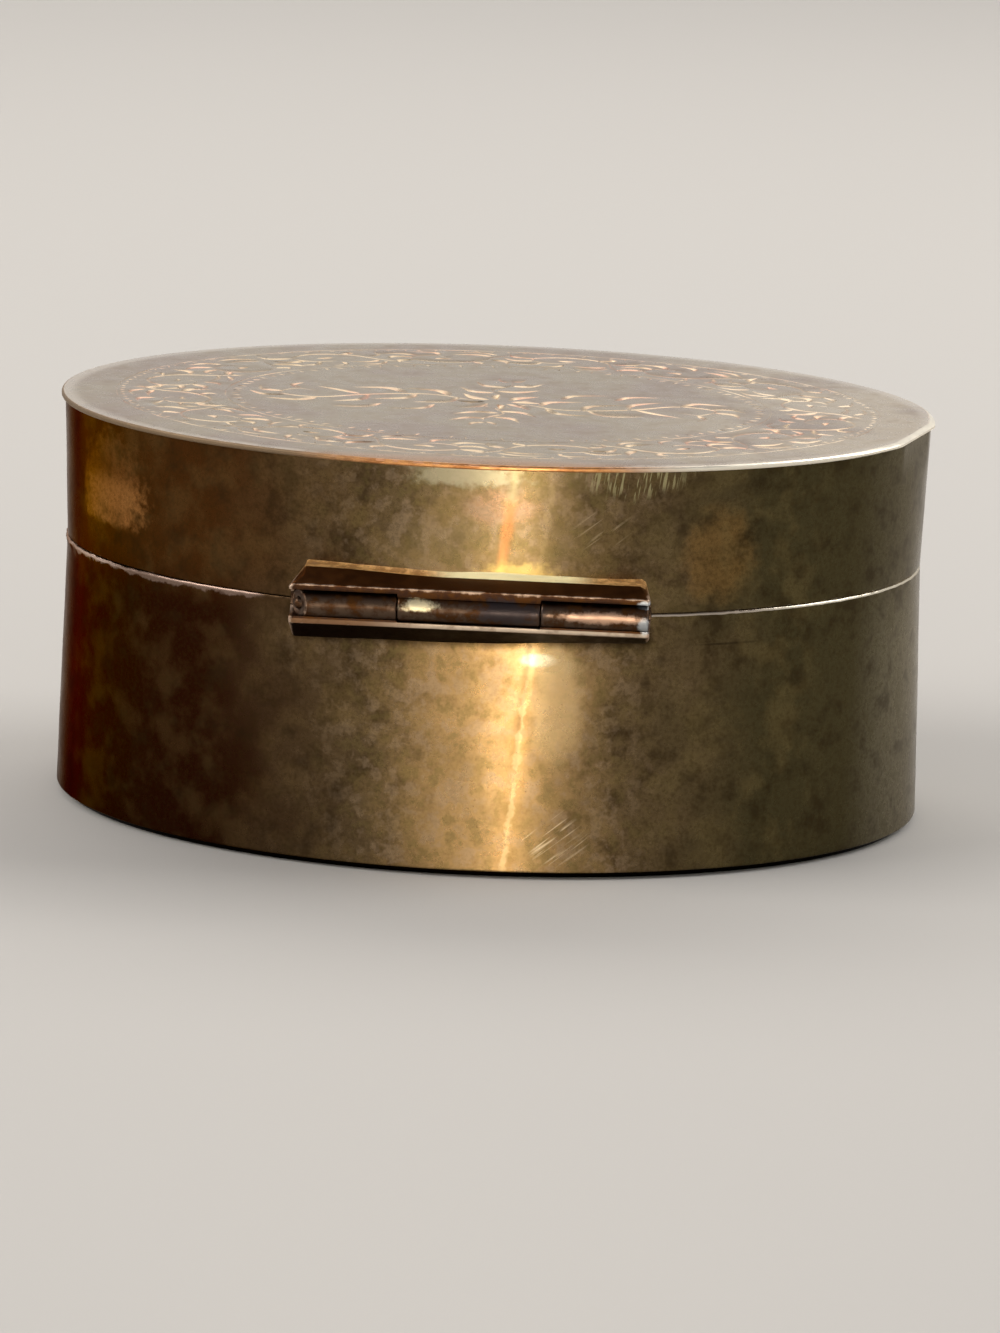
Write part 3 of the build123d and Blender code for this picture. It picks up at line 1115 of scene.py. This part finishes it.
def lay_marks(brass, patina):
    """Scratches, painted highlights below the hinge and on the base's light middle, a painted reflection
    under the lid plate, and a painted shadow under the hinge.
    """
    add = brass.add
    # The scratches are short and upright under the lid's edge, and slant on the lid and low on the base
    brass.daub("#C2B98A", (-15.5, 31, 41.0), (7, 6, 3.0), brass.scratches(0.15, 2.2, 0.2, 0.53), 0.65)
    slanting = brass.plus(brass.spot((-9.0, 33, 4.3), (3.6, 4, 3.4)),
                          brass.times(brass.spot((-12.6, 32, 35.4), (3.4, 4, 3.0)), 0.3))
    brass.cover(patina.worn, slanting, brass.scratches(0.9, 6.0, 0.26, 0.58), 0.85)
    # Below the hinge a bright spot with a halo is a painted highlight, and the pale run under the lid plate
    # is a painted reflection of its overhang
    brass.daub("#EED9A0", (-7.0, 33, 21.8), (5, 4, 2.4), 0.25)
    brass.daub("#F4E8C6", (-6.8, 33, 22.2), (2.2, 4, 0.85), 0.9)
    brass.daub("#C6BE9E", (1.0, 33, 40.6), (7.0, 4, 1.5), 0.6, ragged=brass.broken)
    # The light middle of the base is painted palest to the right, a painted highlight, and a painted shadow
    # lies under the lower bearer
    brass.daub("#E2C08A", (-8.8, 33, 17.5), (3.4, 4, 7), 0.55)
    sloping = brass.plus(brass.height, brass.times(brass.across, 0.022), brass.ragged)
    between_ends = add("MapRange", add("Math", brass.across, operation="ABSOLUTE"), 18.2, 17.4)
    brass.cover("#1E0F05", add("MapRange", sloping, 22.8, 23.9, 0.0, 0.75),
                add("MapRange", brass.height, 25.8, 25.4), between_ends, brass.behind)


def lay_joins(brass):
    """The soldered joins behind: a broken pale line on the base and a soft golden streak on the lid."""
    add = brass.add
    across, height = brass.across, brass.height
    jagged = brass.drift(add("TexNoise", brass.place, 1 / 1.6, 4, 0.55), 0.9)
    leaning = brass.plus(brass.times(height, 0.09), jagged)
    from_join = add("Math", brass.plus(across, 3.96, leaning), operation="ABSOLUTE")
    brass.cover("#DDA85E", add("MapRange", from_join, 2.0, 0.3, 0.0, 0.14),
                add("MapRange", height, SEAM_Z, SEAM_Z - 0.5), brass.behind)
    ragged = brass.drift(add("TexNoise", brass.place, 1 / 0.9, 3, 0.55), 1.3)
    line = add("MapRange", brass.plus(from_join, ragged), 0.4, 0.05, 0.0, 0.34)
    brass.cover("#EBD09C", line, add("MapRange", height, 21.0, 18.5, 0.25, 1.0), brass.behind)
    leaning = brass.times(add("Math", height, 7.5, operation="SUBTRACT"), 0.12)
    from_join = add("Math", brass.plus(across, leaning), operation="ABSOLUTE")
    streak = add("MapRange", brass.plus(from_join, brass.drift(brass.patch, 1.1)), 0.85, 0.1, 0.0, 0.55)
    golden = add("Mix", add("MapRange", height, 33, 30.5), "#DA9258", "#EEC468")
    golden = add("Mix", add("MapRange", height, 37.2, 39), golden, "#C8B88A")
    brass.cover(golden, streak, add("MapRange", height, SEAM_Z, SEAM_Z + 0.4), brass.behind)
    # A painted highlight on the lid wall just above the hinge
    brass.daub("#EBCB78", (-4.6, 33, 30.6), (5, 4, 1.7), 0.5, ragged=brass.broken)


def lay_rims(brass):
    """Bare metal on the rims, duller to the left, and a pale band on the knocked shoulder left of the hinge,
    partly wear and partly painted highlight.
    """
    add = brass.add
    across, height = brass.across, brass.height
    rim = add("Mix", add("MapRange", across, -26, -34), "#B3A697", "#DCD4C2")
    rim = add("Mix", add("MapRange", across, 2, 16), rim, "#8C766A")
    rim = add("Mix", add("MapRange", across, 35, 40), rim, "#CDB6AA")
    beside_hinge = brass.times(add("MapRange", across, 22, 20.5), add("MapRange", across, 5, 10),
                               brass.behind)
    rim = add("Mix", beside_hinge, rim, "#4A3826")
    bare = add("MapRange", brass.plus(brass.wear, brass.broken), 0.3, 0.8)
    # The pale band below the knocked rim is partly wear and partly a painted highlight of the light the
    # knocked rim catches
    knocked = brass.times(add("MapRange", across, 19, 23),
                          add("MapRange", height, SEAM_Z + 0.02, SEAM_Z - 0.02),
                          add("MapRange", brass.plus(height, brass.drift(brass.patch, 2.4)), 26.2, 26.5),
                          add("MapRange", brass.tone, 0.5, 0.0, 0.0, 0.7), brass.behind)
    brass.cover(rim, add("Math", bare, knocked, operation="MAXIMUM"))


def aged_brass(patina):
    """Aged brass sheet, burnished along the bands, soldered and rubbed by hand for years.

    It gives the eye a warm dull metal that draws lights out into upright columns, with a rubbed
    middle that is partly a painted highlight column, cloudy brown to the left and olive to the right
    that are partly tarnish and partly painted shade, painted highlights and shadow about the hinge,
    and bare rims.
    """
    brass = BrassNodes("aged brass, hand rubbed")
    add = brass.add
    brass.surface.inputs["Anisotropic"].default_value = 0.7
    brass.surface.inputs["Anisotropic Rotation"].default_value = 0.25
    around = add("Tangent", direction_type="RADIAL", axis="Z")
    tint = add("Mix", add("MapRange", brass.across, -20, 20), "#E8E4DE", "#D2B99C")
    tint = add("Mix", add("MapRange", brass.across, 40, 42.5), tint, "#AE9A8C")
    brass.connect({"Tangent": around, "Specular Tint": tint})
    cloud = add("TexNoise", brass.place, 1 / 9, 3, 0.5)
    brass.patch = add("TexNoise", brass.place, 1 / 2.8, 6, 0.65)
    brass.grain = add("TexNoise", brass.place, 1 / 0.4, 3, 0.7)
    brass.ragged = brass.drift(brass.patch, 0.9)
    brass.broken = brass.drift(add("TexNoise", brass.place, 1 / 0.9, 3, 0.55), 1.2)
    along = brass.plus(brass.across, brass.drift(cloud, 12))
    # Upright column down the middle of the walls, partly rubbing and partly a painted highlight
    column = add("MapRange", brass.distance(along, -3.0), 14, 3)
    lay_tarnish(brass, patina, along, column)
    lay_marbling(brass, along, column)
    lay_marks(brass, patina)
    lay_joins(brass)
    brass.cover(brass.untouched(patina, cloud), brass.tone)
    lay_rims(brass)
    roughness = add("MapRange", brass.patch, 0.3, 0.7, 0.24, 0.34)
    return brass.finish(roughness, [(brass.grain, 0.003), (brass.patch, 0.01)])


def engraved_brass(patina):
    """Brass plate, planished flat, engraved by hand and worn pale.

    It gives the eye a soft silvery ground, bright warm flashes from the flanks of the cuts, and a
    rubbed golden edge.
    """
    brass = BrassNodes("worn brass, engraved")
    add = brass.add
    across = brass.across
    cloud = add("TexNoise", brass.place, 1 / 11, 3, 0.55)
    patch = add("TexNoise", brass.place, 1 / 2.2, 5, 0.65)
    grain = add("TexNoise", brass.place, 1 / 0.4, 3, 0.7)
    ground = add("Mix", add("MapRange", across, -8, -36), patina.lid, "#C4B49D")
    brass.colour = add("Mix", add("MapRange", cloud, 0.4, 0.68), ground, "#A08C7B")
    brass.cover("#8A745C", add("MapRange", patch, 0.5, 0.75), 0.4)
    # The top is rubbed golden over the hinge, by the hand that opens the lid; elsewhere a pale ring round its
    # rim is a painted highlight of the rim's bevel
    golden = brass.spot((2, 33.8, PLATE_HIGH.z), (30, 5.0, 2), brass.drift(patch, 0.5))
    brass.cover("#BE8E64", golden, 0.65)
    on_circle = add("VectorMath", brass.place, (1 / HALF_LENGTH, 1 / HALF_WIDTH, 0), operation="MULTIPLY")
    outward = add("VectorMath", on_circle, operation="LENGTH")
    painted_rim_sheen = add("MapRange", brass.plus(outward, brass.drift(patch, 0.03)), 0.955, 0.985, 0.0, 0.6)
    pale = add("Math", painted_rim_sheen, golden, operation="SUBTRACT")
    brass.cover("#DDD2C4", add("Math", pale, 0.0, operation="MAXIMUM"))
    # The cuts are painted in paler cut metal, strongly in some places and faintly in others: partly dirt in
    # the cuts and partly a painted highlight where they catch the light
    small = add("TexNoise", brass.place, 1 / 3.1, 2, 0.5)
    large = add("TexNoise", brass.place, 1 / 11, 2, 0.5)
    flank = add("Mix", add("MapRange", small, 0.44, 0.56), patina.cut, "#E0A68A")
    brass.cover(flank, brass.wear, add("MapRange", large, 0.42, 0.6, 0.25, 0.85))
    # The edge is grey at the left, golden over the hinge and near white to the right, partly rubbed metal and
    # partly a painted highlight of the widened bevel, with painted glints along it
    side = add("Mix", add("MapRange", patch, 0.42, 0.6), patina.edge, "#B87C4A")
    uneven = brass.drift(add("TexNoise", brass.place, 1 / 1.1, 2, 0.55), 1.8)
    glint = add("MapRange", brass.plus(brass.wear, uneven), 0.9, 1.2)
    side = add("Mix", brass.times(glint, 0.7), side, "#F0B890")
    side = add("Mix", add("MapRange", across, 7, 20), side, "#85715A")
    side = add("Mix", add("MapRange", across, -12, -22), side, "#F6EEDC")
    brass.cover(side, brass.tone)
    # The underside has been touched as little as the inside of the box
    underneath = add("MapRange", brass.height, PLATE_LOW.z + 0.03, PLATE_LOW.z + 0.01)
    brass.cover(brass.untouched(patina, cloud), underneath)
    dulled = brass.times(brass.tone, add("MapRange", across, -10, 15, 0.05, 0.25))
    return brass.finish(brass.plus(add("MapRange", patch, 0.3, 0.7, 0.24, 0.34), dulled), [(grain, 0.002)])


def hinge_brass(patina):
    """Brass bar and tube, filed and soldered, dark with tarnish that no hand rubs off.

    It gives the eye dark brown faces between thin pale worn edges.
    """
    brass = BrassNodes("dark tarnished brass")
    add = brass.add
    across, height = brass.across, brass.height
    patch = add("TexNoise", brass.place, 1 / 1.3, 5, 0.65)
    grain = add("TexNoise", brass.place, 1 / 0.3, 2, 0.55)
    brass.ragged = brass.drift(patch, 1.6)
    brass.colour = add("Mix", add("MapRange", patch, 0.4, 0.65), patina.hinge, "#503218")
    # The upper slope is painted a lighter brown: painted light that stands in for the sky it reflects
    brass.cover("#6A4222", add("MapRange", height, 29.3, 29.5), 0.8)
    # The knuckles are painted lighter across their middle, though not up in the groove: partly rubbed as the
    # lid turns and partly a painted reflection of the table below
    brass.cover("#5C4A3C", add("MapRange", brass.distance(height, 27.3), 1.2, 0.8),
                add("MapRange", patch, 0.62, 0.4))
    brass.daub("#3F3A3C", (-3.6, 36.1, 27.5), (4.2, 1.4, 1.6), 0.8)
    # Painted highlights: a bright spot at the middle knuckle's left end and a pale streak on the right
    # knuckle
    brass.daub("#FFF0C4", (4.9, 36.1, 28.0), (2.2, 1.4, 0.8))
    brass.daub("#D8B094", (-13.2, 36.1, 27.5), (5.2, 1.4, 0.7), 0.75)
    # Below the groove the land is rubbed pale, more so to the right, and the slope under it is painted black,
    # a painted shade of its downward face
    land = add("Mix", add("MapRange", across, 12, 2), "#7A5C44", "#B8A896")
    brass.cover(land, add("MapRange", height, 26.1, 25.95), add("MapRange", patch, 0.7, 0.5, 0.6, 1.0))
    brass.cover("#190804", add("MapRange", height, 25.6, 25.5))
    # Solder and dirt in the corner above the hinge, tan and no longer bright, with a painted highlight in its
    # middle
    dross = brass.times(brass.tone, add("MapRange", height, 27.2, 27.6))
    lit = add("MapRange", brass.distance(across, -4.0), 9, 5)
    tan = add("Mix", add("MapRange", patch, 0.4, 0.62), "#F0BC78", "#B08048")
    brass.cover(add("Mix", lit, tan, "#FFF2BC"), dross)
    metal = add("Math", 1.0, brass.times(dross, add("MapRange", lit, 0.0, 1.0, 0.7, 0.9)),
                operation="SUBTRACT")
    brass.connect({"Metallic": metal})
    # Pale worn edges, broken, and bluish solder at the right end
    brass.cover("#C4AA94", add("MapRange", brass.plus(brass.wear, brass.ragged), 0.55, 1.0))
    silver = add("Math", brass.spot((-17.3, 35.6, 26.9), (0.9, 1.6, 1.2)),
                 brass.spot((-17.2, 35.4, 28.9), (1.1, 1.2, 0.5)), operation="MAXIMUM")
    brass.cover("#C6CCD0", silver, 0.8)
    return brass.finish(add("MapRange", patch, 0.3, 0.7, 0.34, 0.5), [(grain, 0.006), (patch, 0.02)])


def inside_brass(patina):
    """Brass sheet inside the box, scraped clean after soldering and little touched since.

    It gives the eye a lighter, more even yellow than the outside. Where its tone is 1, as on the
    bottom plate's edge, it is painted black, a painted shadow of the gap under the wall.
    """
    brass = BrassNodes("satin brass, little tarnished")
    cloud = brass.add("TexNoise", brass.place, 1 / 7, 4, 0.55)
    grain = brass.add("TexNoise", brass.place, 1 / 0.4, 2, 0.55)
    brass.colour = brass.untouched(patina, cloud)
    brass.cover(patina.worn, brass.wear, 0.7)
    # Painted shadow: where tone is 1, as on the bottom plate's edge, the brass is painted black
    brass.cover("#0C0704", brass.tone)
    return brass.finish(brass.add("MapRange", cloud, 0.3, 0.7, 0.28, 0.4), [(grain, 0.003)])


def painted_board(colour):
    """Matt painted board of the table: a plain pale ground that takes a soft shadow."""
    material = bpy.data.materials.new("matt painted board")
    material.use_nodes = True
    surface = material.node_tree.nodes["Principled BSDF"]
    surface.inputs["Base Color"].default_value = colour
    surface.inputs["Roughness"].default_value = 0.7
    surface.inputs["Specular IOR Level"].default_value = 0.0
    return material


# Operators


class TRINKET_OT_base_wall(bpy.types.Operator):
    """Make the deep band of the base"""

    bl_idname = "trinket.base_wall"
    bl_label = "Base wall"

    def execute(self, context):
        settings = context.scene.trinket_box
        make_piece("base_band", base_wall_shape(settings.walls), "base", "base_wall",
                   aged_brass(settings.patina))
        return {"FINISHED"}


class TRINKET_OT_base_plate(bpy.types.Operator):
    """Make the bottom plate"""

    bl_idname = "trinket.base_plate"
    bl_label = "Bottom plate"

    def execute(self, context):
        settings = context.scene.trinket_box
        make_piece("bottom_plate", base_plate_shape(), "base", "base_plate",
                   inside_brass(settings.patina))
        return {"FINISHED"}


class TRINKET_OT_collar(bpy.types.Operator):
    """Make the collar that the lid closes over"""

    bl_idname = "trinket.collar"
    bl_label = "Inner collar"

    def execute(self, context):
        settings = context.scene.trinket_box
        make_piece("collar_band", collar_shape(), "base", "inner_collar",
                   inside_brass(settings.patina))
        return {"FINISHED"}


class TRINKET_OT_lid_wall(bpy.types.Operator):
    """Make the shallow band of the lid"""

    bl_idname = "trinket.lid_wall"
    bl_label = "Lid wall"

    def execute(self, context):
        settings = context.scene.trinket_box
        make_piece("lid_band", lid_wall_shape(settings.walls), "lid", "lid_wall",
                   aged_brass(settings.patina))
        return {"FINISHED"}


class TRINKET_OT_lid_plate(bpy.types.Operator):
    """Make the engraved lid plate"""

    bl_idname = "trinket.lid_plate"
    bl_label = "Engraved lid plate"

    def execute(self, context):
        settings = context.scene.trinket_box
        shape = lid_plate_shape(settings.engraving)
        make_piece("engraved_plate", shape, "lid", "lid_plate",
                   engraved_brass(settings.patina), sharp_angle=18)
        return {"FINISHED"}


class TRINKET_OT_hinge(bpy.types.Operator):
    """Make the hinge: two bearers, three knuckles and the pin"""

    bl_idname = "trinket.hinge"
    bl_label = "Hinge"

    def execute(self, context):
        brass = hinge_brass(context.scene.trinket_box.patina)
        lower = bearer_shape(-1, KNUCKLE_RADIUS + BASE_GROOVE_RELIEF, KNUCKLE_RADIUS)
        upper = bearer_shape(1, KNUCKLE_RADIUS, KNUCKLE_RADIUS + LID_GROOVE_RELIEF)
        make_piece("lower_bearer", lower, "base", "lower_hinge_bearer", brass)
        make_piece("upper_bearer", upper, "lid", "upper_hinge_bearer", brass)
        tubes = [
            ("left_knuckle", LEFT_LOW.x, LEFT_HIGH.x, "base", "left_hinge_knuckle", 1.6),
            ("right_knuckle", RIGHT_LOW.x, RIGHT_HIGH.x, "base", "right_hinge_knuckle", 0.0),
            ("middle_knuckle", MIDDLE_LOW.x, MIDDLE_HIGH.x, "lid", "middle_hinge_knuckle", 0.0),
        ]
        for seed, (name, low_x, high_x, body, node, oblique) in enumerate(tubes):
            make_piece(name, knuckle_shape(low_x, high_x, seed, oblique), body, node, brass)
        make_piece("pin_wire", pin_shape(), "base", "hinge_pin", brass)
        return {"FINISHED"}


def add_panel_light(name, location, width, height, power, colour, aim=(0, 0, 0.02), spread=180):
    """Flat lamp that faces a point. Lengths are in metres, power in watts and spread in degrees."""
    data = bpy.data.lights.new(name, "AREA")
    data.shape = "RECTANGLE"
    data.size = width
    data.size_y = height
    data.energy = power
    data.color = linear(colour)[:3]
    data.spread = math.radians(spread)
    lamp = bpy.data.objects.new(name, data)
    lamp.location = location
    lamp.rotation_euler = (Vector(aim) - Vector(location)).to_track_quat("-Z", "Y").to_euler()
    lamp.visible_camera = False
    bpy.context.scene.collection.objects.link(lamp)


def add_camera(studio):
    """Camera at the photograph's distance, height and tilt."""
    data = bpy.data.cameras.new("camera")
    data.lens = studio.lens
    data.sensor_width = 36
    data.clip_start = 0.01
    data.clip_end = 100
    camera = bpy.data.objects.new("camera", data)
    level = math.cos(studio.elevation)
    back = Vector((level * math.cos(studio.azimuth), level * math.sin(studio.azimuth),
                   math.sin(studio.elevation)))
    right = (-back).cross(Vector((0, 0, 1))).normalized()
    up = right.cross(-back)
    tilt = studio.roll
    right, up = right * math.cos(tilt) + up * math.sin(tilt), up * math.cos(tilt) - right * math.sin(tilt)
    turned = Matrix((right, up, back)).transposed().to_4x4()
    camera.matrix_world = Matrix.Translation(Vector(studio.target) + back * studio.distance) @ turned
    bpy.context.scene.collection.objects.link(camera)
    bpy.context.scene.camera = camera


def add_world():
    """Soft light from all round, brighter near the horizon than overhead."""
    world = bpy.data.worlds.new("studio")
    bpy.context.scene.world = world
    world.use_nodes = True
    tree = world.node_tree
    tree.nodes.clear()
    way = add_node(tree, "TexCoord").node.outputs["Generated"]
    height = add_node(tree, "SeparateXYZ", way).node.outputs["Z"]
    sky = add_node(tree, "Mix", add_node(tree, "MapRange", height, 0.1, 0.75), "#EAE8E5", "#77767A")
    add_node(tree, "OutputWorld", add_node(tree, "Background", sky, 1.0))


class TRINKET_OT_studio(bpy.types.Operator):
    """Make the table, the lamps, the sky and the camera"""

    bl_idname = "trinket.studio"
    bl_label = "Studio"

    def execute(self, context):
        studio = context.scene.trinket_box.studio
        mesh = bpy.data.meshes.new("table")
        build = bmesh.new()
        bmesh.ops.create_circle(build, cap_ends=True, segments=96, radius=6.0)
        build.to_mesh(mesh)
        build.free()
        mesh.materials.append(painted_board(studio.floor))
        table = bpy.data.objects.new("table", mesh)
        table.location.z = -0.02 * MM
        context.scene.collection.objects.link(table)
        add_world()
        add_panel_light("left softbox", (0.9, 0.3, 0.75), 0.6, 0.6, 7, "#FFFCF8")
        add_panel_light("right softbox", (-0.9, -0.2, 0.8), 0.6, 0.6, 6, "#FFFDFB")
        add_panel_light("overhead softbox", (0.0, -0.6, 0.75), 1.5, 0.5, 5, "#FFFAF4")
        # These two light the middle of the hinge side, through grids that keep them off the table
        middle = (0, 0.03, 0.02)
        add_panel_light("low strip", (-0.032, 0.36, 0.03), 0.04, 0.055, 0.0086, "#FFF1DC", middle, 40)
        add_panel_light("low fill", (0.035, 0.36, 0.03), 0.12, 0.055, 0.0027, "#FFF1DC", middle, 40)
        add_camera(studio)
        context.scene.view_settings.view_transform = "Standard"
        return {"FINISHED"}


class TRINKET_PT_panel(bpy.types.Panel):
    """Lists the pieces of the box and the studio"""

    bl_label = "Trinket box"
    bl_idname = "TRINKET_PT_panel"
    bl_space_type = "VIEW_3D"
    bl_region_type = "UI"
    bl_category = "Trinket box"

    def draw(self, context):
        for piece in PIECES:
            self.layout.operator(piece.bl_idname)
        settings = context.scene.trinket_box
        for group in (settings.walls, settings.engraving, settings.patina, settings.studio):
            column = self.layout.column(align=True)
            for name in group.bl_rna.properties.keys():
                if name not in ("rna_type", "name"):
                    column.prop(group, name)


PIECES = (
    TRINKET_OT_studio,
    TRINKET_OT_base_wall,
    TRINKET_OT_base_plate,
    TRINKET_OT_collar,
    TRINKET_OT_lid_wall,
    TRINKET_OT_lid_plate,
    TRINKET_OT_hinge,
)
SETTINGS = (WallSettings, EngravingSettings, PatinaSettings, StudioSettings, BoxSettings)
CLASSES = SETTINGS + PIECES + (TRINKET_PT_panel,)


def register():
    for cls in CLASSES:
        bpy.utils.register_class(cls)
    bpy.types.Scene.trinket_box = PointerProperty(type=BoxSettings)


def unregister():
    del bpy.types.Scene.trinket_box
    for cls in reversed(CLASSES):
        bpy.utils.unregister_class(cls)


def main():
    """Build the studio and every piece."""
    register()
    bpy.ops.trinket.studio()
    bpy.ops.trinket.base_wall()
    bpy.ops.trinket.base_plate()
    bpy.ops.trinket.collar()
    bpy.ops.trinket.lid_wall()
    bpy.ops.trinket.lid_plate()
    bpy.ops.trinket.hinge()


if __name__ == "__main__":
    main()
